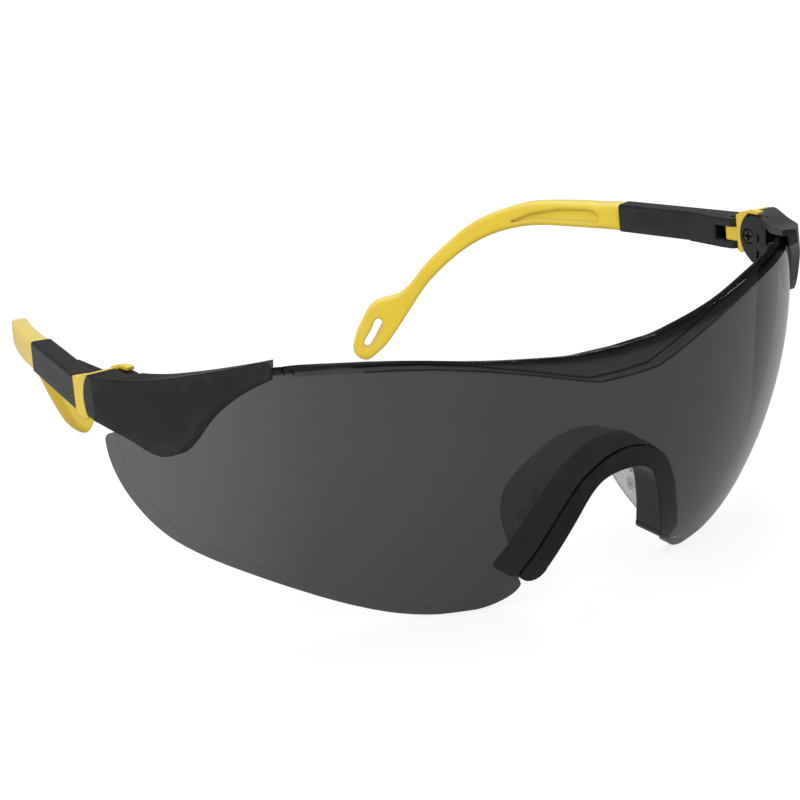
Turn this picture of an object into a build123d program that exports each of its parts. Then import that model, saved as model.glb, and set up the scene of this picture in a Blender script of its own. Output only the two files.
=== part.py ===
from build123d import *
import os
from math import cos, hypot, radians, sin, sqrt

# Shield spectacles with a spherical one-piece lens, tilting and folding temples of adjustable
# length, and a soft nose saddle. They stand on a table, z = 0, on the lower lens edge and the
# temple tips. +Z is up, the shield faces -Y and the temples run towards +Y. The "right" pieces
# lie at +X, on the right as seen from the front; the "left" ones are their mirror images.
# Side and front view points count y from the shield's front pole and z from its sphere centre.

os.makedirs("parts", exist_ok=True)

# ---------------------------------------------------------------- driving dimensions (mm)
ORG_Y = -67.53           # front pole of the shield sphere
ORG_Z = 38.92            # height of the shield sphere's centre above the table

LENS_R = 81.0            # outer radius of the spherical shield
LENS_T = 2.2             # shield wall
SHELL_T = 1.9            # how far the side brackets stand proud of the shield
SHIELD_FIT = 0.08        # gap between shield and bracket, shield and nose bridge
CENTRE = (0, ORG_Y + LENS_R, ORG_Z)
CLEAR_X = 90.0           # beyond everything sideways, for cuts right across

PIVOT_Y, PIVOT_Z = 44.6, 2.0  # tilt pivot of the temple, side view
CHEEK_X = 68.3                # inner face of the cheek plate
CHEEK_T = 1.6
CHEEK_OUTER_X = CHEEK_X + CHEEK_T
CHEEK_R, SHELL_REAR_R = 5.3, 5.8      # rear roundings of cheek plate and bracket
DISC_X, DISC_T, DISC_R = 70.0, 2.0, 2.7  # tilt disc between cheek plate and bracket
BOSS_R, BOSS_FIT = 1.3, 0.06          # pivot boss for the disc
TILT_LIMIT = 8.0                      # degrees either way
BAY_Y = 40.75                         # front of the bay for the cheek plate

PEG_Y, PEG_Z = 36.5, 2.0              # bracket peg that locks the shield
PEG_R, PEG_FIT = 1.05, 0.1

SCREW_Y, SCREW_Z = 47.6, 1.8
SCREW_R, SCREW_HEAD_R, SCREW_HEAD_H = 0.8, 1.4, 0.9
SCREW_TIP_X = 74.55

PIN_X, PIN_Y, PIN_Z = 70.9, 54.4, 0.75   # fold hinge pin
PIN_R, PIN_FIT = 0.7, 0.05
PIN_LOW, PIN_LENGTH = -2.85, 5.6         # lower end along the pin, and length
KNUCKLE_R = 1.9                          # fork lobes of the sleeve
TONGUE_R, TONGUE_HALF = 1.7, 1.35        # hinge block's tongue between them
FORK_GAP = 0.1
FORK_HALF = TONGUE_HALF + FORK_GAP       # inner faces of the lobes
TOE_IN = radians(12.2)                   # temple heading inward, opened
DROOP = radians(4.75)                    # temple slope down to the rear

SLEEVE_START, SLEEVE_END = -1.0, 28.9    # sleeve ends along the temple, from the pin
SLEEVE_C = 1.83                          # sleeve centre line, outward of the pin
BLADE_W, BLADE_H = 2.3, 4.2              # blade of the tip that slides in the sleeve


# ---------------------------------------------------------------- planes
def side_plane(x):
    """Sketch plane facing +X: local x is rearward, local y is up."""
    return Plane(origin=(x, ORG_Y, ORG_Z), x_dir=(0, 1, 0), z_dir=(1, 0, 0))


def front_plane(y):
    """Sketch plane facing -Y: local x is +X, local y is up."""
    return Plane(origin=(0, ORG_Y + y, ORG_Z), x_dir=(1, 0, 0), z_dir=(0, -1, 0))


# directions of the opened right temple
OUTWARD = Vector(cos(TOE_IN), sin(TOE_IN), 0)
REARWARD = Vector(-sin(TOE_IN) * cos(DROOP), cos(TOE_IN) * cos(DROOP), -sin(DROOP))
UPWARD = OUTWARD.cross(REARWARD)
PIN = Vector(PIN_X, ORG_Y + PIN_Y, ORG_Z + PIN_Z)


def arm_level(height):
    """Plane square to the hinge pin at a height: local x outward, local y rearward."""
    return Plane(origin=tuple(PIN + UPWARD * height), x_dir=tuple(OUTWARD), z_dir=tuple(UPWARD))


def arm_cross(distance):
    """Forward-facing plane across the temple's centre line: local x outward, local y up."""
    origin = PIN + REARWARD * distance + OUTWARD * SLEEVE_C
    return Plane(origin=tuple(origin), x_dir=tuple(OUTWARD), z_dir=tuple(REARWARD * -1))


# ---------------------------------------------------------------- point helpers
def sphere_y(x, z, inset=0.0):
    """Side view y of the shield sphere's front, inset from its outer surface."""
    return LENS_R - sqrt((LENS_R - inset) ** 2 - x * x - z * z)


def round_pivot(radius, *angles):
    """Side view points round the tilt pivot; 0 degrees is rearward, 90 is up."""
    return [(PIVOT_Y + radius * cos(radians(angle)), PIVOT_Z + radius * sin(radians(angle)))
            for angle in angles]


def mirrored(points):
    return [(-x, y) for x, y in reversed(points)]


def both_sides(half):
    """Full front view curve from its right half, which starts on the centre line."""
    return mirrored(half) + half[1:]


def offset_half(points, amount):
    """Right half of a front view curve moved to its left, outward, for a positive amount."""
    moved = [(0.0, points[0][1] + amount)]
    for i in range(1, len(points)):
        x, y = points[i]
        x0, y0 = points[i - 1]
        x1, y1 = points[min(i + 1, len(points) - 1)]
        length = hypot(x1 - x0, y1 - y0)
        moved.append((x - (y1 - y0) / length * amount, y + (x1 - x0) / length * amount))
    return moved


def stretched(line, before, after):
    """A two-point line lengthened at its start and at its end."""
    (y0, z0), (y1, z1) = line
    length = hypot(y1 - y0, z1 - z0)
    dir_y, dir_z = (y1 - y0) / length, (z1 - z0) / length
    return (y0 - dir_y * before, z0 - dir_z * before), (y1 + dir_y * after, z1 + dir_z * after)


# ---------------------------------------------------------------- output
def save(part, name):
    part.label = name
    export_step(part, f"parts/{name}.step")


def save_pair(right, name):
    """Saves a right piece and its mirror image."""
    save(right, f"{name}_right")
    with BuildPart() as left:
        add(mirror(right, about=Plane.YZ, mode=Mode.PRIVATE))
    save(left.part, f"{name}_left")


# ================================================================ shield
# nose cut-out edge, front view, right half from the top down: x, z
NOSE_CUT = [
    (0.0, -10.75), (2.6, -11.05), (5.1, -12.0), (7.0, -13.25), (8.7, -14.6), (10.35, -16.7),
    (11.8, -19.3), (12.85, -21.4), (13.6, -23.2), (14.45, -25.3), (15.25, -27.2),
    (16.05, -29.0), (16.9, -30.8), (17.5, -32.4)]
# its foot, on to the lower edge of the shield
NOSE_CUT_FOOT = [
    NOSE_CUT[-1], (16.9, -33.6), (16.45, -34.6), (16.9, -36.0), (18.6, -37.5), (21.0, -38.55),
    (23.6, -39.0)]

# lower and rear edge, side view: y, z
RIM_SIDE = [
    (16.0, -ORG_Z), (17.6, -38.4), (19.3, -37.4), (21.3, -35.8), (23.6, -33.9), (26.0, -32.0),
    (28.6, -30.2), (31.5, -28.4), (34.6, -26.7), (37.6, -24.9), (40.4, -22.8), (42.8, -20.0),
    (44.9, -16.4), (46.4, -12.8), (47.3, -9.2), (47.6, -6.2), (47.3, -4.6), (46.3, -3.9),
    (44.8, -3.75)]
# upper edge under the bracket's roof and on over the brow, side view, from the rear: y, z
LENS_TOP_SIDE = [
    (40.6, 5.15), (35.7, 6.0), (29.9, 7.6), (26.1, 8.8), (22.0, 10.2), (12.0, 16.0), (-10, 16.0)]

# brow facet stations: x, crease height, top height, top set back from the outer surface
MID_X, MID_Z = 6.35, 2.2     # half width and crease height of the flat middle facet
BROW = [
    (MID_X, MID_Z, 6.45, 3.0), (12.0, 3.8, 6.85, 2.7), (18.0, 5.53, 7.65, 2.2),
    (26.0, 7.4, 8.6, 1.8), (34.0, 8.65, 9.6, 1.5), (40.0, 9.0, 10.1, 1.1),
    (47.0, 8.93, 10.1, 0.9), (53.0, 8.45, 9.45, 0.9)]
BROW_MIDDLE = [(-MID_X, *BROW[0][1:]), (0.0, MID_Z - 0.1, 6.35, 3.0), BROW[0]]

# top of the spherical wall, front view, just above the crease: x, z
WALL_TOP = [(row[0], row[1] + 0.9) for row in BROW] + [(62.0, 8.1), (70.0, 6.5), (84.0, 3.5)]

FACET_ROOT = 1.5             # how far the facet's wall runs below and above the crease


def facet_line(row, wall):
    """Side view line of the leaning facet, crease to top, wall deep behind the outer one."""
    x, crease_z, top_z, setback = row
    drop = 0.45 * wall
    low_z, high_z = crease_z - drop, top_z - drop / 2
    return (sphere_y(x, low_z, wall), low_z), (sphere_y(x, high_z, setback + wall), high_z)


def facet_front(row):
    """Block in front of the facet."""
    low, high = stretched(facet_line(row, 0.0), 2.2, 3.0)
    front_y = low[0] - 6.0
    return [low, high, (front_y, high[1]), (front_y, low[1])]


def facet_wall(row):
    """Wall behind the facet, rooted in the middle of the shield's own wall."""
    outer_low, outer_high = facet_line(row, 0.0)
    inner_low, inner_high = stretched(facet_line(row, LENS_T), LENS_T / 2, 0.0)
    front_high = stretched((outer_high, inner_high), 1.2, 0.0)[0]
    root_z = outer_low[1] - FACET_ROOT
    return [(sphere_y(row[0], root_z, LENS_T / 2), root_z),
            (outer_low[0], outer_low[1] + FACET_ROOT), front_high, inner_high, inner_low]


def brow_loft(rows, outline, ruled=False):
    """Loft of one side view outline per brow station."""
    with BuildPart() as body:
        for row in rows:
            with BuildSketch(side_plane(row[0])):
                with BuildLine():
                    Polyline(*outline(row), close=True)
                make_face()
        loft(ruled=ruled)
    return body.part


def build_lens():
    brow_front = brow_loft(BROW, facet_front)
    brow_front_mid = brow_loft(BROW_MIDDLE, facet_front, ruled=True)
    brow_wall = brow_loft(BROW, facet_wall)
    brow_wall_mid = brow_loft(BROW_MIDDLE, facet_wall, ruled=True)
    side_x, low_z = WALL_TOP[-1][0], -60
    foot_x, foot_z = NOSE_CUT_FOOT[-1]

    with BuildPart() as lens:
        with Locations(CENTRE):
            Sphere(LENS_R)
            Sphere(LENS_R - LENS_T, mode=Mode.SUBTRACT)
        # front view outline; it also drops the rear half of the sphere
        with BuildSketch(front_plane(LENS_R)):
            with BuildLine():
                Spline(*WALL_TOP)
                Line(WALL_TOP[-1], (side_x, low_z))
                Line((side_x, low_z), (foot_x, low_z))
                Line((foot_x, low_z), (foot_x, foot_z))
                Spline(*reversed(NOSE_CUT_FOOT))
                Spline(*both_sides(NOSE_CUT))
                Spline(*mirrored(list(reversed(NOSE_CUT_FOOT))))
                Line((-foot_x, foot_z), (-foot_x, low_z))
                Line((-foot_x, low_z), (-side_x, low_z))
                Line((-side_x, low_z), (-side_x, WALL_TOP[-1][1]))
                Spline(*mirrored(WALL_TOP))
                Line((-MID_X, WALL_TOP[0][1]), WALL_TOP[0])
            make_face()
        extrude(amount=100, mode=Mode.INTERSECT)
        # side view outline
        with BuildSketch(side_plane(-CLEAR_X)):
            with BuildLine():
                Spline(*RIM_SIDE)
                corner = (LENS_TOP_SIDE[0][0], RIM_SIDE[-1][1])
                Line(RIM_SIDE[-1], corner)
                Line(corner, LENS_TOP_SIDE[0])
                Polyline(*LENS_TOP_SIDE)
                Line(LENS_TOP_SIDE[-1], (LENS_TOP_SIDE[-1][0], -ORG_Z))
                Line((LENS_TOP_SIDE[-1][0], -ORG_Z), RIM_SIDE[0])
            make_face()
        extrude(amount=2 * CLEAR_X, mode=Mode.INTERSECT)
        # leaning brow: add its wall, then clear the room in front of it
        add(brow_wall)
        add(mirror(brow_wall, about=Plane.YZ, mode=Mode.PRIVATE))
        add(brow_wall_mid)
        add(brow_front, mode=Mode.SUBTRACT)
        add(mirror(brow_front, about=Plane.YZ, mode=Mode.PRIVATE), mode=Mode.SUBTRACT)
        add(brow_front_mid, mode=Mode.SUBTRACT)
        # holes for the retaining pegs of the side brackets
        with BuildSketch(side_plane(-CLEAR_X)):
            with Locations((PEG_Y, PEG_Z)):
                Circle(PEG_R + PEG_FIT)
        extrude(amount=2 * CLEAR_X, mode=Mode.SUBTRACT)
    return lens.part


# ================================================================ side bracket
TIP_CUT = radians(43.6)  # where a bracket's wing ends, round the shield from its front pole
ROOF_IN = 3.1            # how far a bracket reaches inside the shield's outer surface
OUTER_X = 75.6           # flat outer face at the hinge
WING_X = 30.0            # side cuts of the wing start here
POCKET_X = 60.0          # cuts at the hinge start here

# outline, side view, from the upper rear corner forward over the wing and back: y, z
REAR_LOW, REAR_MID, REAR_TOP = round_pivot(SHELL_REAR_R, -33, 0, 45)
WING_TOP = [REAR_TOP, (43.9, 6.2), (39.6, 6.6), (35.7, 7.4), (29.9, 9.0), (26.1, 10.15),
            (22.9, 11.2)]
WING_TIP = [WING_TOP[-1], (21.8, 11.25), (21.2, 10.9), (20.95, 10.0), (21.3, 8.9)]
WING_LOW = [
    WING_TIP[-1], (23.0, 7.7), (25.0, 6.2), (27.0, 4.35), (29.0, 2.0), (30.7, -0.6),
    (31.9, -2.7), (33.2, -4.5), (34.6, -5.7), (36.0, -6.0), (37.6, -5.65), (39.6, -4.55),
    (41.8, -3.4), (44.2, -2.5), (46.9, -1.5), REAR_LOW]
# room for the shield below the bracket's roof, side view: y, z
ROOM_SIDE = [
    (10, -60), (43.0, -60), (43.0, -2.9), (BAY_Y, -2.9), (40.7, 5.3), (35.7, 6.15),
    (29.9, 7.75), (26.1, 8.95), (23.0, 9.95), (19.0, 10.0), (10, 10.0)]
# bay for the cheek plate, side view: y, z
BAY_SIDE = [(BAY_Y, -20), (BAY_Y, 4.85), (42.9, 5.6), (43.6, 6.3), (43.6, 20),
            (BAY_Y + 20, 20), (BAY_Y + 20, -20)]


def build_shield_room():
    """Space the shield takes up in the bracket."""
    with BuildPart() as room:
        with Locations(CENTRE):
            Sphere(LENS_R + SHIELD_FIT)
            Sphere(LENS_R - 6.0, mode=Mode.SUBTRACT)
        with BuildSketch(side_plane(20)):
            with BuildLine():
                Polyline(*ROOM_SIDE, close=True)
            make_face()
        extrude(amount=80, mode=Mode.INTERSECT)
    return room.part


def build_roof_trim():
    """Off-centre ball that keeps the bracket's roof narrow in front of the cheek plate."""
    with BuildPart() as trim:
        with Locations((-8, CENTRE[1] - 9.87, ORG_Z)):
            Sphere(79.6)
        with BuildSketch(side_plane(WING_X)):
            with Locations((BAY_Y - 20, 10)):
                Rectangle(40, 40)
        extrude(amount=60, mode=Mode.INTERSECT)
    return trim.part


def build_bracket():
    shield_room = build_shield_room()
    roof_trim = build_roof_trim()
    pocket_end_x = DISC_X + DISC_T + 0.1
    screw_hole_end_x = SCREW_TIP_X + 0.05

    with BuildPart() as bracket:
        with Locations(CENTRE):
            Sphere(LENS_R + SHELL_T)
            Sphere(LENS_R - ROOF_IN, mode=Mode.SUBTRACT)
        with BuildSketch(side_plane(WING_X)):
            with BuildLine():
                Spline(*WING_TOP)
                Spline(*WING_TIP)
                Spline(*WING_LOW)
                ThreePointArc(REAR_LOW, REAR_MID, REAR_TOP)
            make_face()
        extrude(amount=OUTER_X - WING_X, mode=Mode.INTERSECT)
        add(shield_room, mode=Mode.SUBTRACT)
        add(roof_trim, mode=Mode.SUBTRACT)
        # wing tip cut square to the shield's surface
        level = Plane(origin=(0, CENTRE[1], ORG_Z - 20), x_dir=(1, 0, 0), z_dir=(0, 0, 1))
        with BuildSketch(level):
            with BuildLine():
                Polyline((0, 0), (100 * sin(TIP_CUT), -100 * cos(TIP_CUT)), (0, -150),
                         close=True)
            make_face()
        extrude(amount=50, mode=Mode.SUBTRACT)
        # bay behind the shield for the cheek plate
        with BuildSketch(side_plane(WING_X)):
            with BuildLine():
                Polyline(*BAY_SIDE, close=True)
            make_face()
        extrude(amount=CHEEK_OUTER_X + 0.03 - WING_X, mode=Mode.SUBTRACT)
        # pocket for the tilt disc, open to the rear
        with BuildSketch(side_plane(POCKET_X)):
            with Locations((PIVOT_Y, PIVOT_Z)):
                Circle(DISC_R + 0.2)
            with Locations((PIVOT_Y + 6, PIVOT_Z)):
                Rectangle(12, 6.4)
        extrude(amount=pocket_end_x - POCKET_X, mode=Mode.SUBTRACT)
        # pivot boss for the disc
        with BuildSketch(side_plane(CHEEK_OUTER_X)):
            with Locations((PIVOT_Y, PIVOT_Z)):
                Circle(BOSS_R)
        extrude(amount=3.5)
        # screw hole, blind
        with BuildSketch(side_plane(POCKET_X)):
            with Locations((SCREW_Y, SCREW_Z)):
                Circle(SCREW_R)
        extrude(amount=screw_hole_end_x - POCKET_X, mode=Mode.SUBTRACT)
        # peg that locks the shield
        with BuildSketch(side_plane(65.0)):
            with Locations((PEG_Y, PEG_Z)):
                Circle(PEG_R)
        extrude(amount=3.9)
    return bracket.part


# ================================================================ cheek plate
CHEEK_ARC = round_pivot(CHEEK_R, 42, 0, -52)
# rest of the outline, side view, from the arc's lower end forward and back to its top: y, z
CHEEK_EDGE = [
    CHEEK_ARC[-1], (46.4, -3.1), (44.8, -3.4), (BAY_Y + 0.1, -3.4), (BAY_Y + 0.1, 4.7),
    (42.9, 5.45), (43.6, 6.1), (46.6, 6.1), CHEEK_ARC[0]]


def build_cheek_plate():
    with BuildPart() as plate:
        with BuildSketch(side_plane(CHEEK_X)):
            with BuildLine():
                ThreePointArc(*CHEEK_ARC)
                Polyline(*CHEEK_EDGE)
            make_face()
        extrude(amount=CHEEK_T)
        # counterbored screw hole
        for radius, depth in ((SCREW_HEAD_R + 0.12, SCREW_HEAD_H), (SCREW_R + 0.05, CHEEK_T)):
            with BuildSketch(side_plane(CHEEK_X)):
                with Locations((SCREW_Y, SCREW_Z)):
                    Circle(radius)
            extrude(amount=depth, mode=Mode.SUBTRACT)
        # two narrow slots in the inner face
        with BuildSketch(side_plane(CHEEK_X)):
            with Locations((44.7, 2.0)):
                Rectangle(0.5, 1.6)
            with Locations((44.7, -2.0)):
                Rectangle(0.7, 2.8)
        extrude(amount=1.0, mode=Mode.SUBTRACT)
    return plate.part


# ================================================================ tilt screw
HEAD_SUNK = 0.05                         # head below the cheek plate's inner face
SHANK_X = CHEEK_X + 0.4                  # shank start, inside the head
CROSS_L, CROSS_W, CROSS_DEPTH = 1.9, 0.42, 0.6


def build_tilt_screw():
    with BuildPart() as screw:
        with BuildSketch(side_plane(CHEEK_X + HEAD_SUNK)):
            with Locations((SCREW_Y, SCREW_Z)):
                Circle(SCREW_HEAD_R)
        extrude(amount=SCREW_HEAD_H - HEAD_SUNK)
        with BuildSketch(side_plane(SHANK_X)):
            with Locations((SCREW_Y, SCREW_Z)):
                Circle(SCREW_R)
        extrude(amount=SCREW_TIP_X - SHANK_X)
        fillet(screw.faces().sort_by(Axis.X)[0].edges(), 0.25)
        # cross recess
        with BuildSketch(side_plane(CHEEK_X)):
            with Locations((SCREW_Y, SCREW_Z)):
                Rectangle(CROSS_L, CROSS_W)
                Rectangle(CROSS_W, CROSS_L)
        extrude(amount=CROSS_DEPTH, mode=Mode.SUBTRACT)
    return screw.part


# ================================================================ hinge block
RING_GAP = 0.15
RING_SETBACK = 0.25          # ring's inner face, outward of the cheek plate's inner face
RING_OUTER_X = 75.3
# arcs and outer edges of the two ring layers, side view: y, z
INNER_ARC = round_pivot(CHEEK_R + RING_GAP, 52, 6, -40)
INNER_EDGE = [
    INNER_ARC[0], (45.2, 6.55), (45.0, 7.15), (46.6, 7.05), (48.4, 6.7), (50.3, 6.05),
    (51.5, 5.2), (51.3, 3.6), (50.95, 0.4), (50.7, -1.0), (49.9, -2.1), INNER_ARC[-1]]
OUTER_ARC = round_pivot(SHELL_REAR_R + RING_GAP, 43, 0, -34)
OUTER_EDGE = [
    OUTER_ARC[0], (50.0, 5.9), (51.6, 5.2), (52.2, 4.6), (56.0, 4.3), (56.0, -2.4),
    (51.2, -2.4), (50.2, -2.1), OUTER_ARC[-1]]
RING_LAYERS = [  # arc, edge, start x, thickness
    # crescent round the cheek plate
    (INNER_ARC, INNER_EDGE, CHEEK_X + RING_SETBACK, CHEEK_T - RING_SETBACK),
    # outer part, behind the bracket
    (OUTER_ARC, OUTER_EDGE, CHEEK_OUTER_X, RING_OUTER_X - CHEEK_OUTER_X)]
WEB_L, WEB_H = 6.8, 4.4      # web from the disc back to the ring
SLOT_L = 2 * SCREW_R + 0.3 + 2 * (SCREW_Y - PIVOT_Y) * radians(TILT_LIMIT)
BORE_OVER = 0.02             # bores start and end this far beyond the disc's faces


def build_hinge_block():
    with BuildPart() as block:
        for arc, edge, start_x, thickness in RING_LAYERS:
            with BuildSketch(side_plane(start_x)):
                with BuildLine():
                    ThreePointArc(*arc)
                    Polyline(*edge)
                make_face()
            extrude(amount=thickness)
        # disc and web between cheek plate and bracket
        with BuildSketch(side_plane(DISC_X)):
            with Locations((PIVOT_Y, PIVOT_Z)):
                Circle(DISC_R)
            with Locations((PIVOT_Y + WEB_L / 2, PIVOT_Z)):
                Rectangle(WEB_L, WEB_H)
        extrude(amount=DISC_T)
        # cut square to the opened temple
        with BuildSketch(arm_level(-20)):
            with Locations((0, SLEEVE_START - FORK_GAP + 20)):
                Rectangle(60, 40)
        extrude(amount=40, mode=Mode.SUBTRACT)
        # pockets for the fork lobes, above and below the tongue
        for side in (1, -1):
            with BuildSketch(arm_level(side * TONGUE_HALF)):
                Circle(KNUCKLE_R + 0.3)
            extrude(amount=side * 8, mode=Mode.SUBTRACT)
        # tongue around the pin
        with BuildSketch(arm_level(-TONGUE_HALF)):
            Circle(TONGUE_R)
            with Locations((0, -1.0)):
                Rectangle(2 * TONGUE_R, 2.0)
        extrude(amount=2 * TONGUE_HALF)
        with BuildSketch(arm_level(-TONGUE_HALF - 1)):
            Circle(PIN_R + PIN_FIT)
        extrude(amount=2 * TONGUE_HALF + 2, mode=Mode.SUBTRACT)
        # bore on the pivot boss and slot for the screw
        with BuildSketch(side_plane(DISC_X - BORE_OVER)):
            with Locations((PIVOT_Y, PIVOT_Z)):
                Circle(BOSS_R + BOSS_FIT)
            with Locations((SCREW_Y, SCREW_Z)):
                SlotOverall(SLOT_L, 2 * SCREW_R + 0.24, rotation=86)
        extrude(amount=DISC_T + 2 * BORE_OVER, mode=Mode.SUBTRACT)
    return block.part


# ================================================================ hinge pin
def build_hinge_pin():
    with BuildPart() as pin:
        with BuildSketch(arm_level(PIN_LOW)):
            Circle(PIN_R)
        extrude(amount=PIN_LENGTH)
    return pin.part


# ================================================================ temple sleeve
SLEEVE_ENDS = [  # distance from the pin, width, height
    (SLEEVE_START, 4.06, 6.1), (SLEEVE_END, 3.96, 5.75)]
SLEEVE_CORNER_R = 0.6
LOBE_T = 1.55
BLADE_FIT = 0.1
CHANNEL_START = 6.5                      # front end of the blade's channel
SWELL_HALF = 2.95
# swelling of the inner face, seen from above: outward, rearward of the pin
SWELL = [(-KNUCKLE_R, 0.0), (-KNUCKLE_R, 1.6), (-0.15, 11.0), (0.6, 11.0), (0.6, 0.0)]


def build_temple_sleeve():
    with BuildPart() as sleeve:
        for distance, width, height in SLEEVE_ENDS:
            with BuildSketch(arm_cross(distance)):
                RectangleRounded(width, height, SLEEVE_CORNER_R)
        loft()
        # fork lobes round the pin, upper and lower
        for side in (1, -1):
            with BuildSketch(arm_level(side * FORK_HALF)):
                Circle(KNUCKLE_R)
                with Locations((0.9, 0.4)):
                    Rectangle(1.8, 2.8)
            extrude(amount=side * LOBE_T)
        # swelling that carries the fork
        with BuildSketch(arm_level(-SWELL_HALF)):
            with BuildLine():
                Polyline(*SWELL, close=True)
            make_face()
        extrude(amount=2 * SWELL_HALF)
        # slot for the tongue and the window behind it
        with BuildSketch(arm_level(-FORK_HALF)):
            with Locations((-0.6, 0.4)):
                Rectangle(5.2, 3.2)
            with Locations((-0.8, 2.65)):
                Rectangle(4.6, 1.9)
        extrude(amount=2 * FORK_HALF, mode=Mode.SUBTRACT)
        # pin bore, open at the top
        with BuildSketch(arm_level(PIN_LOW)):
            Circle(PIN_R)
        extrude(amount=8, mode=Mode.SUBTRACT)
        # channel for the temple blade, open to the rear
        with BuildSketch(arm_cross(CHANNEL_START)):
            RectangleRounded(BLADE_W + 2 * BLADE_FIT, BLADE_H + 2 * BLADE_FIT, 0.5)
        extrude(amount=-(SLEEVE_END - CHANNEL_START + 1), mode=Mode.SUBTRACT)
    return sleeve.part


# ================================================================ temple tip
BLADE_START, BLADE_END = 9.0, 30.0       # blade ends, distance from the pin
CURL_1, CURL_2 = 0.261, 0.00822          # inward curl, degrees per mm and per mm squared
CURL_STEPS = 400                         # steps for summing up the curled centre line
EYELET_S = 89.3                          # cord eyelet, distance from the pin
RECESS_D = 0.6                           # depth of the recess in the inner face

TIP_ROWS = [  # distance along the temple, lower edge, upper edge, thickness
    (29.05, -2.75, 2.75, 3.7), (33.0, -2.8, 2.6, 3.7), (38.0, -2.95, 2.42, 3.6),
    (43.0, -3.05, 2.25, 3.45), (48.0, -3.15, 1.95, 3.3), (52.0, -3.4, 1.6, 3.2),
    (56.0, -4.0, 0.75, 3.1), (60.5, -5.15, -0.65, 3.0), (65.0, -6.9, -2.4, 2.9),
    (69.6, -9.5, -5.1, 2.8), (74.0, -12.8, -8.6, 2.7), (78.6, -17.2, -12.7, 2.6),
    (82.5, -22.3, -17.0, 2.5), (85.5, -26.2, -18.65, 2.45), (88.5, -29.7, -19.15, 2.4),
    (91.0, -31.6, -20.55, 2.4), (92.8, -32.45, -23.2, 2.3), (94.2, -32.0, -25.6, 2.2),
    (95.0, -31.3, -27.5, 2.0), (95.45, -30.4, -28.8, 1.5)]
RECESS_ROWS = [  # distance along, lower edge, upper edge, thickness of the tip there
    (34.7, -0.95, -0.2, 3.66), (35.6, -1.6, 0.7, 3.65), (37.7, -1.5, 1.0, 3.6),
    (44.7, -1.6, 0.6, 3.4), (51.6, -1.8, -0.6, 3.2), (57.0, -2.85, -2.5, 3.07)]
EYELET = [  # teardrop, side view of the tip: distance along, height
    (89.39, -23.33), (88.82, -23.95), (88.74, -24.71), (89.38, -25.89), (90.44, -27.54),
    (91.44, -28.94), (92.22, -29.6), (92.8, -29.42), (93.09, -28.55), (92.25, -26.96),
    (91.07, -25.21), (90.16, -23.62)]


def heading(distance):
    """Inward turn of the centre line, in radians."""
    run = max(0.0, distance - SLEEVE_END)
    return radians(CURL_1 * run + CURL_2 * run * run)


def curl_path(distance):
    """Inward shift and rearward reach of the temple's centre line."""
    step = (distance - SLEEVE_END) / CURL_STEPS
    inward, back = 0.0, SLEEVE_END
    for i in range(CURL_STEPS):
        angle = heading(SLEEVE_END + (i + 0.5) * step)
        inward += sin(angle) * step
        back += cos(angle) * step
    return inward, back


def tip_frame(distance, across, lift):
    """Origin, outward and rearward directions at a point of the curled tip."""
    inward, back = curl_path(distance)
    angle = heading(distance)
    out_dir = OUTWARD * cos(angle) + REARWARD * sin(angle)
    rear_dir = REARWARD * cos(angle) - OUTWARD * sin(angle)
    origin = (PIN + OUTWARD * (SLEEVE_C - inward) + REARWARD * back
              + out_dir * across + UPWARD * lift)
    return tuple(origin), out_dir, rear_dir


def tip_cross(distance, across, lift):
    """Forward-facing plane across the tip: local x outward, local y up."""
    origin, out_dir, rear_dir = tip_frame(distance, across, lift)
    return Plane(origin=origin, x_dir=tuple(out_dir), z_dir=tuple(rear_dir * -1))


def tip_side(distance):
    """Outward-facing plane on the centre line: local x rearward, local y up."""
    origin, out_dir, rear_dir = tip_frame(distance, 0, 0)
    return Plane(origin=origin, x_dir=tuple(rear_dir), z_dir=tuple(out_dir))


def build_recess():
    with BuildPart() as recess:
        for distance, low, high, thickness in RECESS_ROWS:
            with BuildSketch(tip_cross(distance, -thickness / 2, (low + high) / 2)):
                Rectangle(2 * RECESS_D, high - low)
        loft(ruled=True)
    return recess.part


def build_temple_tip():
    recess = build_recess()
    with BuildPart() as tip:
        for distance, low, high, thickness in TIP_ROWS:
            with BuildSketch(tip_cross(distance, 0, (low + high) / 2)):
                RectangleRounded(thickness, high - low, min(0.9, (high - low) * 0.3))
        loft()
        # blade that slides in the sleeve
        with BuildSketch(arm_cross(BLADE_START)):
            RectangleRounded(BLADE_W, BLADE_H, 0.4)
        extrude(amount=-(BLADE_END - BLADE_START))
        # split that makes the blade's front end springy, for the length detent
        with BuildSketch(arm_cross(BLADE_START - 0.5)):
            Rectangle(BLADE_W + 1, 0.8)
        extrude(amount=-9.0, mode=Mode.SUBTRACT)
        # cord eyelet
        with BuildSketch(tip_side(EYELET_S)):
            with BuildLine():
                Spline(*[(x - EYELET_S, z) for x, z in EYELET], periodic=True)
            make_face()
        extrude(amount=4, both=True, mode=Mode.SUBTRACT)
        add(recess, mode=Mode.SUBTRACT)
    return tip.part


# ================================================================ nose bridge
BRIDGE_DEPTH = 5.8       # front to back, behind the shield's outer surface
BRIDGE_PROUD = 0.3       # rim in front of the shield
RIM_GAP = 0.15           # between the rim and the shield's cut-out edge
FLANGE = 0.4             # how far the bridge laps behind the shield
SADDLE_PEGS = [(11.35, -25.0), (-11.35, -25.0)]
SADDLE_PEG_R, SOCKET_FIT = 0.7, 0.05

# opening, front view, right half from the top down: x, z
NOSE_HOLE = [
    (0.0, -14.9), (2.6, -15.15), (4.8, -16.0), (6.3, -17.4), (7.4, -19.2), (8.3, -21.2),
    (9.15, -23.3), (10.0, -25.4), (10.85, -27.6), (11.7, -29.8), (12.5, -31.8)]
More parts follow.
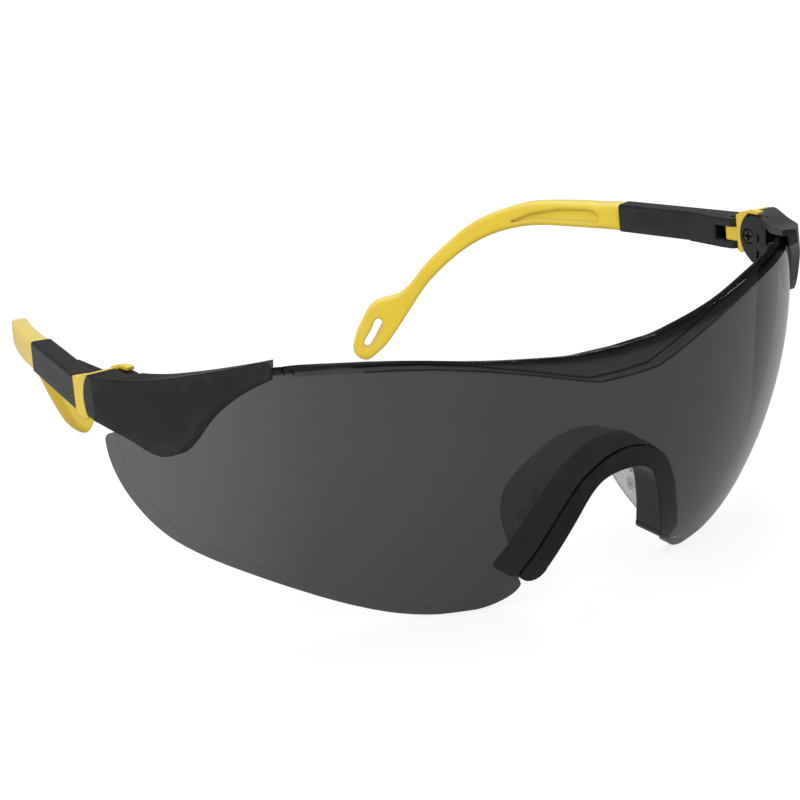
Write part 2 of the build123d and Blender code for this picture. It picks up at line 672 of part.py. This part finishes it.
# round the foot from outer edge to opening, front view: x, z
RIM_FOOT = [(16.7, -33.3), (15.4, -34.0), (13.8, -33.8), (12.9, -32.9)]
FLANGE_FOOT = [(17.3, -33.5), (15.4, -34.1), (13.7, -33.7), (12.9, -32.8)]


def nose_layer(radius, edge, foot):
    """Arch between an outer edge and the opening, with its front on a sphere."""
    foot_curve = [edge[-1], *foot, NOSE_HOLE[-1]]
    with BuildPart() as layer:
        with Locations(CENTRE):
            Sphere(radius)
            Sphere(LENS_R - BRIDGE_DEPTH, mode=Mode.SUBTRACT)
        with BuildSketch(front_plane(30)):
            with BuildLine():
                Spline(*both_sides(edge))
                Spline(*foot_curve)
                Spline(*both_sides(NOSE_HOLE))
                Spline(*[(-x, z) for x, z in foot_curve])
            make_face()
        extrude(amount=40, mode=Mode.INTERSECT)
    return layer.part


def build_nose_bridge():
    rim = nose_layer(LENS_R + BRIDGE_PROUD, offset_half(NOSE_CUT, -RIM_GAP), RIM_FOOT)
    flange = nose_layer(LENS_R - LENS_T - SHIELD_FIT, offset_half(NOSE_CUT, FLANGE),
                        FLANGE_FOOT)
    with BuildPart() as bridge:
        add(flange)
        add(rim)
        # sockets for the saddle's pegs
        with BuildSketch(front_plane(20)):
            with Locations(*SADDLE_PEGS):
                Circle(SADDLE_PEG_R + SOCKET_FIT)
        extrude(amount=20 - 7.6, mode=Mode.SUBTRACT)
    return bridge.part


# ================================================================ nose pad
PAD_T = 1.6              # soft nose saddle wall
# middle of the wall at its front and rear, front view, right half from the top down: x, z
PAD_FRONT_Y, PAD_REAR_Y = 4.0, 22.0
PAD_FRONT = [
    (0.0, -10.4), (3.3, -10.9), (6.4, -12.7), (8.5, -15.6), (9.8, -19.2), (10.8, -23.0),
    (11.9, -26.4), (12.9, -29.4), (13.5, -31.4)]
PAD_REAR = [
    (0.0, -13.6), (3.6, -14.0), (7.0, -15.5), (9.4, -18.0), (11.1, -21.0), (12.4, -24.2),
    (13.5, -27.3), (14.4, -30.0), (14.9, -31.8)]
# rear edge, side view, from the top down: y, z
PAD_SIDE = [
    (14.6, -11.0), (15.2, -13.0), (16.6, -15.6), (18.6, -18.6), (19.8, -21.6), (19.6, -24.4),
    (18.0, -27.0), (15.6, -29.2), (12.6, -30.9), (9.0, -31.6)]
PAD_CLEAR_X = 30.0       # beyond the pad sideways


def build_nose_pad():
    with BuildPart() as pad:
        for points, y in ((PAD_FRONT, PAD_FRONT_Y), (PAD_REAR, PAD_REAR_Y)):
            outer = both_sides(offset_half(points, PAD_T / 2))
            inner = both_sides(offset_half(points, -PAD_T / 2))
            with BuildSketch(front_plane(y)):
                with BuildLine():
                    Spline(*outer)
                    Line(outer[-1], inner[-1])
                    Spline(*inner)
                    Line(outer[0], inner[0])
                make_face()
        loft()
        # front face follows the back of the nose bridge
        with Locations(CENTRE):
            Sphere(LENS_R - BRIDGE_DEPTH - 0.05, mode=Mode.INTERSECT)
        with BuildSketch(side_plane(-PAD_CLEAR_X)):
            with BuildLine():
                Spline(*PAD_SIDE)
                Polyline(PAD_SIDE[-1], (-5, PAD_SIDE[-1][1]), (-5, -5),
                         (PAD_SIDE[0][0], -5), PAD_SIDE[0])
            make_face()
        extrude(amount=2 * PAD_CLEAR_X, mode=Mode.INTERSECT)
        # flexing slots through both flanks
        with BuildSketch(side_plane(-PAD_CLEAR_X)):
            with Locations((12.4, -20.4), (14.3, -24.4)):
                SlotOverall(2.6, 1.1, rotation=100)
        extrude(amount=2 * PAD_CLEAR_X, mode=Mode.SUBTRACT)
        # pegs into the nose bridge
        with BuildSketch(front_plane(14)):
            with Locations(*SADDLE_PEGS):
                Circle(SADDLE_PEG_R)
        extrude(amount=14 - 9.3)
    return pad.part


# ================================================================ all pieces
save(build_lens(), "lens")
save_pair(build_bracket(), "bracket")
save_pair(build_cheek_plate(), "cheek_plate")
save_pair(build_tilt_screw(), "tilt_screw")
save_pair(build_hinge_block(), "hinge_block")
save_pair(build_hinge_pin(), "hinge_pin")
save_pair(build_temple_sleeve(), "temple_sleeve")
save_pair(build_temple_tip(), "temple_tip")
save(build_nose_bridge(), "nose_bridge")
save(build_nose_pad(), "nose_pad")
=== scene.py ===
"""Safety glasses with a smoke lens, black nylon sleeves and yellow nylon tips.

They stand on the floor at z = 0, with the lens spanning X about x = 0 and the temples
running along Y. Units are metres unless a name ends in MM. The shapes come from the CAD
pieces; this script adds their materials, the floor, the lights and the camera.
"""
import bpy
from mathutils import Matrix, Vector

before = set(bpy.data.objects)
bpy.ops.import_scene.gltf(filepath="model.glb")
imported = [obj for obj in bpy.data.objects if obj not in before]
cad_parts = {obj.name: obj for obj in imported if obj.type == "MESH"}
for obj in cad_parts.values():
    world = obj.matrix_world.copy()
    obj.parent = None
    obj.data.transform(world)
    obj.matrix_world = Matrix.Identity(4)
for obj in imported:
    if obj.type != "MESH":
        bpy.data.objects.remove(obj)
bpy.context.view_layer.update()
scene = bpy.context.scene

MM = 0.001

# Lens: its sphere's centre height, and the spans that scale the brow curves
LENS_CENTRE_Z = 0.03892
LENS_HALF_WIDTH_MM = 80.0
BROW_SPAN_MM = 16.0
LENS_HALF_WIDTH = LENS_HALF_WIDTH_MM * MM
BROW_SPAN = BROW_SPAN_MM * MM
BROW_DEPTH = 0.004  # depth below the top edge that the brow's fades are measured over
CREASE_REACH = 0.001  # distance that the crease lines' fades are measured over
CREASE_GAP = 0.0008  # fainter line's height above the crease

# Distance from the middle, then heights of the top edge and of the crease above the
# sphere's centre, in mm
BROW_CURVES_MM = [
    (0, 6.35, 2.1), (6.35, 6.45, 2.2), (12, 6.85, 3.8), (18, 7.65, 5.53),
    (26, 8.6, 7.4), (34, 9.6, 8.65), (40, 10.1, 9.0), (47, 10.1, 8.93),
    (53, 9.45, 8.45), (62, 8.2, 7.2), (70, 6.6, 5.5), (80, 4.0, 2.5),
]

FLOOR_HALF = 6.0
FLOOR_Z = -0.0002

# Camera position and its right, up and forward axes
CAMERA_POSITION = Vector((-258.97, -383.44, 187.96)) * MM
CAMERA_RIGHT = Vector((0.8221539, -0.5682747, -0.03356832))
CAMERA_UP = Vector((0.22263225, 0.26670297, 0.93771233))
CAMERA_FORWARD = Vector((0.52392541, 0.77841724, -0.34578716))
CAMERA_SENSOR_MM = 36.0
CAMERA_FOCAL_MM = 117.350775


# ---------------------------------------------------------------- shader graph helpers
class Graph:
    """Adds nodes to one node tree; inputs take plain values or other nodes' outputs."""

    def __init__(self, tree):
        self.tree = tree

    def feed(self, socket, value):
        if isinstance(value, bpy.types.NodeSocket):
            self.tree.links.new(value, socket)
        elif socket.type == "RGBA":
            socket.default_value = (*value, 1)
        else:
            socket.default_value = value

    def node(self, kind, inputs=None, **properties):
        """Add a node and return its outputs."""
        made = self.tree.nodes.new("ShaderNode" + kind)
        for name, value in properties.items():
            setattr(made, name, value)
        for key, value in (inputs or {}).items():
            self.feed(made.inputs[key], value)
        return made.outputs

    def coords(self):
        return self.node("TexCoord")["Object"]

    def noise(self, vector, scale, detail):
        return self.node("TexNoise", {"Scale": scale, "Detail": detail, "Roughness": 0.55,
                                      "Vector": vector})["Fac"]

    def ramp(self, factor, stops):
        """Grey ramp through (position, value) stops."""
        made = self.tree.nodes.new("ShaderNodeValToRGB")
        elements = made.color_ramp.elements
        while len(elements) < len(stops):
            elements.new(0.5)
        for element, (position, grey) in zip(elements, stops):
            element.position = position
            element.color = (grey, grey, grey, 1)
        self.feed(made.inputs["Fac"], factor)
        return made.outputs["Color"]

    def rise(self, factor, start, end):
        return self.ramp(factor, [(start, 0.0), (end, 1.0)])

    def fall(self, factor, start, end):
        return self.ramp(factor, [(start, 1.0), (end, 0.0)])

    def math(self, operation, first, second):
        return self.node("Math", {0: first, 1: second}, operation=operation)[0]

    def swing(self, source, amount):
        """Centre a 0..1 source on zero and scale it."""
        return self.math("MULTIPLY", self.math("SUBTRACT", source, 0.5), amount)

    def dot(self, first, second):
        return self.node("VectorMath", {0: first, 1: second}, operation="DOT_PRODUCT")["Value"]

    def blend(self, factor, start, end):
        """Colour mix, from start at factor 0 to end at factor 1."""
        return self.node("Mix", {0: factor, 6: start, 7: end}, data_type="RGBA")[2]

    def bump(self, height, strength, distance, normal=None):
        inputs = {"Strength": strength, "Distance": distance, "Height": height}
        if normal is not None:
            inputs["Normal"] = normal
        return self.node("Bump", inputs)["Normal"]

    def rounded(self, radius):
        """Normal with softly rounded corners."""
        return self.node("Bevel", {"Radius": radius}, samples=6)["Normal"]


def new_material(name):
    """Return an empty material, its graph and its surface socket."""
    made = bpy.data.materials.new(name)
    made.use_nodes = True
    tree = made.node_tree
    tree.nodes.clear()
    output = tree.nodes.new("ShaderNodeOutputMaterial")
    return made, Graph(tree), output.inputs["Surface"]


# ---------------------------------------------------------------- product materials
def moulded(name, *, dark, light, rough, grain, edge_colour, edge, radius,
            coat=0.0, specular=0.5, painted_shade=None, pale=None):
    """Moulded plastic: fine grain, faint flow variation, rubbed edges, rounded corners;
    optionally painted shade on faces turned down and a painted highlight on faces turned up.
    """
    made, g, surface = new_material(name)
    vector = g.coords()
    cloud = g.noise(vector, scale=90.0, detail=3.0)
    speck = g.noise(vector, scale=3400.0, detail=2.0)
    base = g.blend(g.rise(cloud, start=0.35, end=0.7), dark, light)

    # edges rubbed in patches
    worn = g.rise(g.node("NewGeometry")["Pointiness"], start=0.515, end=0.57)
    patches = g.ramp(g.noise(vector, scale=700.0, detail=4.0), [(0.35, 0.1), (0.65, 1.0)])
    worn = g.math("MULTIPLY", worn, patches)
    base = g.blend(g.math("MULTIPLY", worn, edge), base, edge_colour)

    # a few fine handling scuffs, stretched along Y
    stretched = g.node("Mapping", {"Scale": (1.0, 0.16, 1.0), "Vector": vector})[0]
    scuff = g.rise(g.noise(stretched, scale=1500.0, detail=2.0), start=0.66, end=0.74)
    scuff_strength = 0.12
    base = g.blend(g.math("MULTIPLY", scuff, scuff_strength), base, edge_colour)

    soft_normal = g.rounded(radius)
    if painted_shade:
        # painted shade and painted highlight: the colour is darkened on faces turned down and
        # lightened on faces turned up; the normal's Z is mapped from -1..1 to 0..1
        lean = g.node("SeparateXYZ", {0: soft_normal})["Z"]
        upness = g.math("ADD", g.math("MULTIPLY", lean, 0.5), 0.5)
        base = g.blend(g.fall(upness, start=0.12, end=0.46), base, painted_shade)
        base = g.blend(g.ramp(upness, [(0.56, 0.0), (0.95, 0.7)]), base, pale)

    roughness = g.math("ADD", g.swing(cloud, amount=0.10), rough)
    roughness = g.math("ADD", roughness, g.swing(speck, amount=0.12))
    fine = g.bump(speck, strength=grain, distance=0.00003, normal=soft_normal)
    waves = g.noise(vector, scale=160.0, detail=2.0)
    g.feed(surface, g.node("BsdfPrincipled", {
        "Base Color": base,
        "Roughness": roughness,
        "Normal": g.bump(waves, strength=grain * 0.12, distance=0.0001, normal=fine),
        "Specular IOR Level": specular,
        "Coat Weight": coat,
        "Coat Roughness": 0.12,
    })[0])
    return made


def lens_material():
    """Smoke-tinted polycarbonate, darker at the brow lines, mirror-like at glancing angles."""
    made, g, surface = new_material("smoke_polycarbonate")
    vector = g.coords()
    wall_normal = g.node("NewGeometry")["Normal"]

    # Schlick reflectance from the facing ratio, the same on both faces of the wall
    facing = g.node("LayerWeight", {"Blend": 0.5})["Facing"]
    glancing = g.math("MULTIPLY", g.math("POWER", facing, 5.0), 0.95)
    reflectance = g.math("ADD", glancing, 0.045)

    place = g.node("SeparateXYZ", {0: vector})
    # 0 at the middle, 1 at the outer ends
    outward = g.math("DIVIDE", g.math("ABSOLUTE", place["X"], 0.0), LENS_HALF_WIDTH)
    height = g.math("SUBTRACT", place["Z"], LENS_CENTRE_Z)

    def brow_curve(column):
        """Height of one of the brow curves above the sphere's centre."""
        stops = [(row[0] / LENS_HALF_WIDTH_MM, row[column] / BROW_SPAN_MM)
                 for row in BROW_CURVES_MM]
        return g.math("MULTIPLY", g.ramp(outward, stops), BROW_SPAN)

    top = brow_curve(1)
    crease = brow_curve(2)

    def below_top():
        return g.math("SUBTRACT", top, height)

    def brow_depth():
        return g.math("DIVIDE", below_top(), BROW_DEPTH)

    # moulded-in lip under the top edge, up to three times thinner towards -X
    side = g.math("ADD", g.math("DIVIDE", place["X"], 2 * LENS_HALF_WIDTH), 0.5)
    thin = g.ramp(side, [(0.10, 1.0), (0.32, 0.80), (0.44, 0.15), (0.50, 0.0)])
    depth = g.math("MULTIPLY", below_top(), g.math("ADD", g.math("MULTIPLY", thin, 2.0), 1.0))
    lip = g.ramp(g.math("DIVIDE", depth, BROW_DEPTH),
                 [(0.0, 1.0), (0.24, 1.0), (0.40, 0.25), (0.62, 0.0)])

    # the crease, with a fainter line above it, kept to the middle of the width
    def line(offset, start, end):
        distance = g.math("ABSOLUTE", offset, 0.0)
        return g.fall(g.math("DIVIDE", distance, CREASE_REACH), start, end)

    main = line(g.math("SUBTRACT", height, crease), start=0.10, end=0.22)
    raised = g.math("SUBTRACT", g.math("SUBTRACT", height, crease), CREASE_GAP)
    faint_strength = 0.35
    faint = g.math("MULTIPLY", line(raised, start=0.05, end=0.12), faint_strength)
    middle_limit = 0.55
    middle = g.math("LESS_THAN", outward, middle_limit)
    lines = g.math("MULTIPLY", g.math("MAXIMUM", main, faint), middle)
    brow = g.math("MAXIMUM", lip, lines)

    # cloudy tint, lightened towards the outer ends as a painted reflection, and dark in the
    # brow lines
    cloud = g.noise(vector, scale=22.0, detail=3.0)
    tint = g.blend(g.rise(cloud, start=0.3, end=0.7),
                   (0.208, 0.208, 0.210), (0.213, 0.213, 0.216))
    painted_end_reflection = g.ramp(outward, [(0.25, 0.0), (0.62, 0.30), (0.78, 0.75), (0.90, 1.0)])
    tint = g.blend(painted_end_reflection, tint, (0.360, 0.360, 0.362))
    tint = g.blend(brow, tint, (0.075, 0.075, 0.078))

    # the cut edge of the wall shows as a thin dark line
    turn = g.dot(wall_normal, g.rounded(radius=0.00030))
    rim_strength = 0.75
    rim = g.math("MULTIPLY", g.fall(turn, start=0.85, end=0.98), rim_strength)
    tint = g.blend(rim, tint, (0.10, 0.10, 0.10))

    # the narrow strip along the brow's top edge reflects less
    smear = g.ramp(g.noise(vector, scale=120.0, detail=5.0), [(0.3, 0.03), (0.8, 0.09)])
    cap = g.fall(brow_depth(), start=0.06, end=0.16)
    gloss_colour = g.blend(cap, (0.9, 0.9, 0.92), (0.16, 0.16, 0.165))

    # the brow's upper edge is rounded over; the rest of the wall is optically smooth
    near_top = g.fall(brow_depth(), start=0.55, end=0.75)
    gloss_normal = g.node("Mix", {0: near_top, 4: wall_normal, 5: g.rounded(radius=0.00035)},
                          data_type="VECTOR")[1]
    gloss = g.node("BsdfGlossy", {"Roughness": smear, "Color": gloss_colour,
                                  "Normal": gloss_normal})[0]

    clear_wall = g.node("BsdfTransparent", {"Color": tint})[0]
    body = g.node("BsdfDiffuse", {"Color": (0.02, 0.02, 0.022)})[0]
    haze = 0.05
    wall = g.node("MixShader", {0: haze, 1: clear_wall, 2: body})[0]
    g.feed(surface, g.node("MixShader", {0: reflectance, 1: wall, 2: gloss})[0])
    return made


def clear_material():
    made, g, surface = new_material("clear_soft_elastomer")
    vector = g.coords()
    cloud = g.rise(g.noise(vector, scale=140.0, detail=3.0), start=0.3, end=0.7)
    smear = g.noise(vector, scale=420.0, detail=3.0)
    roughness = g.ramp(smear, [(0.3, 0.24), (0.75, 0.40)])
    grain = g.noise(vector, scale=1500.0, detail=2.0)
    g.feed(surface, g.node("BsdfPrincipled", {
        "Base Color": g.blend(cloud, (0.93, 0.935, 0.94), (0.98, 0.98, 0.985)),
        "Roughness": roughness,
        "Transmission Weight": 0.65,
        "IOR": 1.41,
        "Normal": g.bump(grain, strength=0.25, distance=0.00005),
    })[0])
    return made


def steel_material():
    made, g, surface = new_material("blackened_steel")
    vector = g.coords()
    worn = g.rise(g.node("NewGeometry")["Pointiness"], start=0.51, end=0.58)
    smear = g.noise(vector, scale=900.0, detail=4.0)
    roughness = g.ramp(smear, [(0.3, 0.28), (0.7, 0.5)])
    grain = g.noise(vector, scale=2200.0, detail=3.0)
    g.feed(surface, g.node("BsdfPrincipled", {
        "Metallic": 0.85,
        "Base Color": g.blend(worn, (0.045, 0.045, 0.05), (0.22, 0.22, 0.23)),
        "Roughness": roughness,
        "Normal": g.bump(grain, strength=0.3, distance=0.00003),
    })[0])
    return made


black = moulded(
    "black_nylon", dark=(0.0125, 0.0125, 0.0128), light=(0.0160, 0.0160, 0.0165),
    rough=0.44, grain=0.40, edge_colour=(0.05, 0.05, 0.052), edge=0.35,
    specular=0.40, radius=0.0004)
black_sleeve = moulded(
    "black_nylon_sleeve", dark=(0.0175, 0.0175, 0.018), light=(0.0215, 0.0215, 0.022),
    rough=0.46, grain=0.40, edge_colour=(0.06, 0.06, 0.062), edge=0.35,
    specular=0.36, radius=0.0006)
black_gloss = moulded(
    "black_nylon_gloss", dark=(0.0052, 0.0052, 0.0054), light=(0.0072, 0.0072, 0.0075),
    rough=0.26, grain=0.05, edge_colour=(0.03, 0.03, 0.031), edge=0.30,
    specular=0.16, radius=0.0004)
# both yellow materials get painted shade on faces turned down and a painted highlight on faces
# turned up
yellow = moulded(
    "yellow_nylon", dark=(0.79, 0.545, 0.030), light=(0.84, 0.600, 0.040),
    rough=0.34, grain=0.22, edge_colour=(0.88, 0.68, 0.14), edge=0.30,
    radius=0.0004, painted_shade=(0.68, 0.43, 0.008), pale=(0.86, 0.68, 0.13))
yellow_tip = moulded(
    "yellow_nylon_tip", dark=(0.86, 0.610, 0.030), light=(0.91, 0.665, 0.045),
    rough=0.30, grain=0.16, edge_colour=(0.88, 0.68, 0.14), edge=0.30, coat=0.25,
    radius=0.0013, painted_shade=(0.66, 0.44, 0.004), pale=(0.90, 0.76, 0.24))
smoke = lens_material()
clear = clear_material()
steel = steel_material()

# Material of each piece, or of each left and right pair
PAINT = {
    "lens": smoke, "nose_bridge": black_gloss, "nose_pad": clear,
    "bracket": black, "cheek_plate": black, "tilt_screw": steel,
    "hinge_block": yellow, "hinge_pin": steel,
    "temple_sleeve": black_sleeve, "temple_tip": yellow_tip,
}
for name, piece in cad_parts.items():
    paint = PAINT.get(name.removesuffix("_left").removesuffix("_right"))
    if paint:
        piece.data.materials.clear()
        piece.data.materials.append(paint)


# ---------------------------------------------------------------- floor
def floor_material():
    """Pale floor that glows white to the camera and less in reflections and bounces."""
    made, g, surface = new_material("pale_floor")
    cloud = g.noise(g.coords(), scale=3.0, detail=2.0)
    colour = g.blend(cloud, (0.80, 0.80, 0.80), (0.82, 0.82, 0.82))
    pale = g.node("BsdfDiffuse", {"Color": colour})[0]
    black_body = g.node("BsdfDiffuse", {"Color": (0, 0, 0)})[0]

    glow, glossy_cut, diffuse_cut = 0.80, 0.55, 0.35
    ray = g.node("LightPath")
    glow = g.math("SUBTRACT", glow, g.math("MULTIPLY", ray["Is Glossy Ray"], glossy_cut))
    glow = g.math("SUBTRACT", glow, g.math("MULTIPLY", ray["Is Diffuse Ray"], diffuse_cut))
    emission = g.node("Emission", {"Strength": glow})[0]

    black_share = 0.72
    dimmed = g.node("MixShader", {0: black_share, 1: pale, 2: black_body})[0]
    g.feed(surface, g.node("AddShader", {0: dimmed, 1: emission})[0])
    return made


def build_floor():
    paint = floor_material()
    corners = [(x * FLOOR_HALF, y * FLOOR_HALF, FLOOR_Z)
               for x, y in ((-1, -1), (1, -1), (1, 1), (-1, 1))]
    mesh = bpy.data.meshes.new("floor")
    mesh.from_pydata(corners, [], [(0, 1, 2, 3)])
    floor = bpy.data.objects.new("floor", mesh)
    scene.collection.objects.link(floor)
    mesh.materials.append(paint)


build_floor()


# ---------------------------------------------------------------- world and lights
def build_world():
    """White to the camera, soft grey light, and a dark room in reflections."""
    world = bpy.data.worlds.new("studio")
    scene.world = world
    world.use_nodes = True
    g = Graph(world.node_tree)
    background = world.node_tree.nodes["Background"]
    ray = g.node("LightPath")
    along_view = g.dot(g.node("TexCoord")["Generated"], CAMERA_FORWARD)
    # -1..1 mapped to 0..1, brightest where the camera looks
    along_view = g.math("ADD", g.math("MULTIPLY", along_view, 0.5), 0.5)
    room = g.ramp(along_view, [(0.0, 0.035), (0.5, 0.05), (0.85, 0.09), (0.97, 0.20)])
    colour = g.blend(ray["Is Glossy Ray"], (0.90, 0.90, 0.90), room)
    colour = g.blend(ray["Is Camera Ray"], colour, (1.0, 1.0, 1.0))
    g.feed(background.inputs["Color"], colour)
    background.inputs["Strength"].default_value = 1.0


def area_light(name, location, size, power, target=(0, 0, 0.03), glossy=True):
    """Square area light aimed at a target; glossy=False hides it from reflections."""
    data = bpy.data.lights.new(name, "AREA")
    data.energy = power
    data.shape = "RECTANGLE"
    data.size = size
    data.size_y = size
    light = bpy.data.objects.new(name, data)
    scene.collection.objects.link(light)
    light.location = location
    light.rotation_mode = "QUATERNION"
    aim = Vector(target) - Vector(location)
    light.rotation_quaternion = aim.to_track_quat("-Z", "Y")
    light.visible_glossy = glossy


build_world()
area_light("key", location=(-0.25, -0.55, 0.85), size=0.5, power=2.2, glossy=False)
area_light("left", location=(-0.95, 0.0, 0.30), size=0.5, power=1.15, glossy=False)
area_light("glint", location=(0.498, 0.336, 0.562), size=0.10, power=1.1,
           target=(0.03, -0.06, 0.048))
area_light("overhead", location=(0.10, 0.25, 0.95), size=0.45, power=0.8)


# ---------------------------------------------------------------- camera
def build_camera():
    data = bpy.data.cameras.new("camera")
    camera = bpy.data.objects.new("camera", data)
    scene.collection.objects.link(camera)
    data.sensor_width = CAMERA_SENSOR_MM
    data.lens = CAMERA_FOCAL_MM
    data.clip_start = 0.01
    pose = Matrix((CAMERA_RIGHT, CAMERA_UP, -CAMERA_FORWARD)).transposed().to_4x4()
    pose.translation = CAMERA_POSITION
    camera.matrix_world = pose
    scene.camera = camera
    scene.view_settings.view_transform = "Standard"


build_camera()
